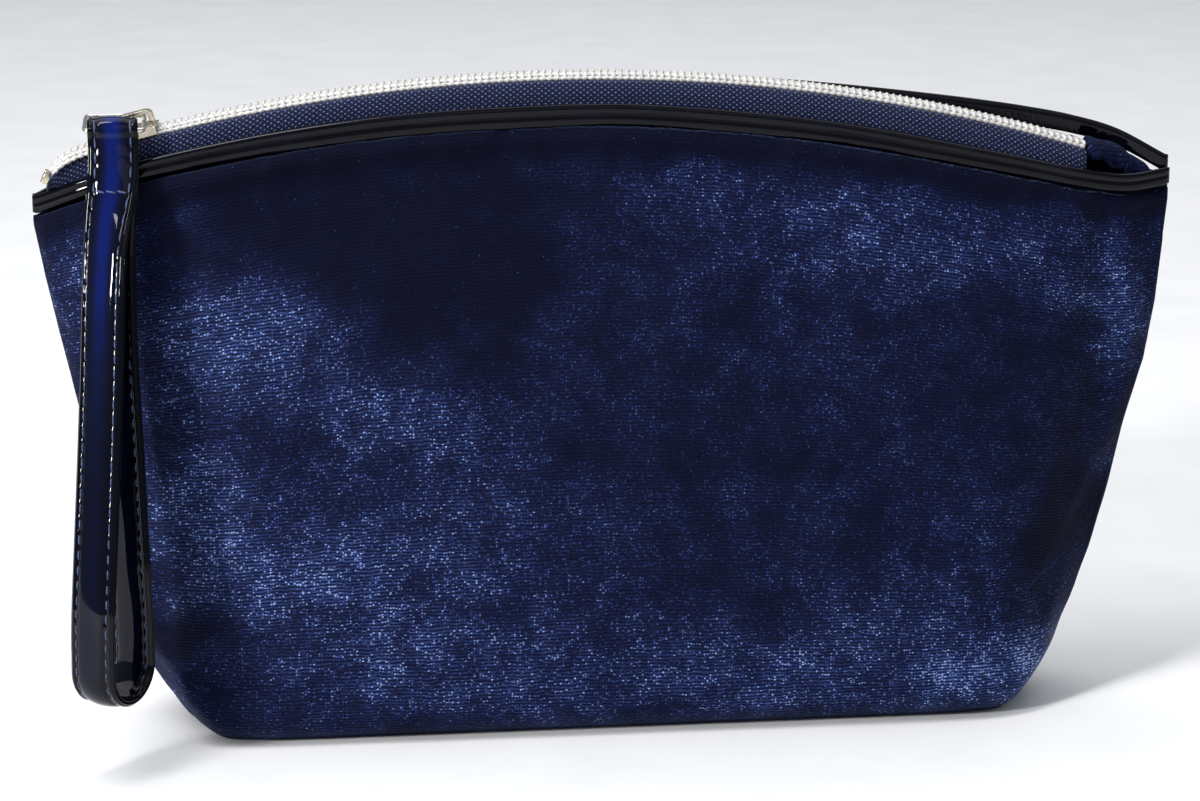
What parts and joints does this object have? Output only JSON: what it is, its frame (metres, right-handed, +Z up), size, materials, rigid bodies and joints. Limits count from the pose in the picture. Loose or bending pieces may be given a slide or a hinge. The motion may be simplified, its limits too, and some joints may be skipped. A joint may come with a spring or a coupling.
{
  "type": "zippered pouch",
  "caption": "Standing velvet pouch with a boxed base, patent-trimmed arched zip mouth and a looped patent wrist strap on the slider's ring.",
  "frame": {"origin": "middle of the flat base, on the surface that the pouch stands on", "axes": "+X along the zip, from the end with the slider to the end with the velvet tab; -Y is the side that the wrist strap hangs on; +Z up"},
  "size_m": [0.2491, 0.0694, 0.1429],
  "materials": {
    "velvet": "crushed knit velvet, fine horizontal rows, soft sheen",
    "interlining": "matt needled fleece",
    "lining": "plain satin lining",
    "patent": "patent, high gloss clear coat",
    "zip_tape": "woven twill tape",
    "zip_coil": "silver grey nylon coil, satin",
    "slider_metal": "pale gold plating, polished",
    "ring_metal": "polished plated wire"
  },
  "bodies": {
    "pouch": {"front_panel": "velvet", "back_panel": "velvet", "front_interlining": "interlining", "back_interlining": "interlining", "front_lining": "lining", "back_lining": "lining", "front_trim": "patent", "back_trim": "patent", "zip_tape_front": "zip_tape", "zip_tape_back": "zip_tape", "zip_coil_front": "zip_coil", "zip_coil_back": "zip_coil", "zip_stop_front": "slider_metal", "zip_stop_back": "slider_metal", "zip_end_tab": "velvet"},
    "slider": {"slider_body": "slider_metal", "slider_crown": "slider_metal"},
    "ring": {"pull_ring": "ring_metal"},
    "strap": {"strap_outer": "patent", "strap_inner": "patent"}
  },
  "joints": [
    {"name": "slider_travel", "type": "hinge", "parent": "pouch", "child": "slider", "pos_m": [-0.009, 0, -0.24], "axis": [0, 1, 0], "range_deg": [-0.5, 30.2]},
    {"name": "ring_swing", "type": "hinge", "parent": "slider", "child": "ring", "pos_m": [-0.0996, 0, 0.1339], "axis": [0, 0.9917, 0.1289], "range_deg": [0, 150]},
    {"name": "strap_swing", "type": "hinge", "parent": "ring", "child": "strap", "pos_m": [-0.106, -0.0083, 0.13282], "axis": [-1, 0, 0], "range_deg": [0, 120]}
  ]
}
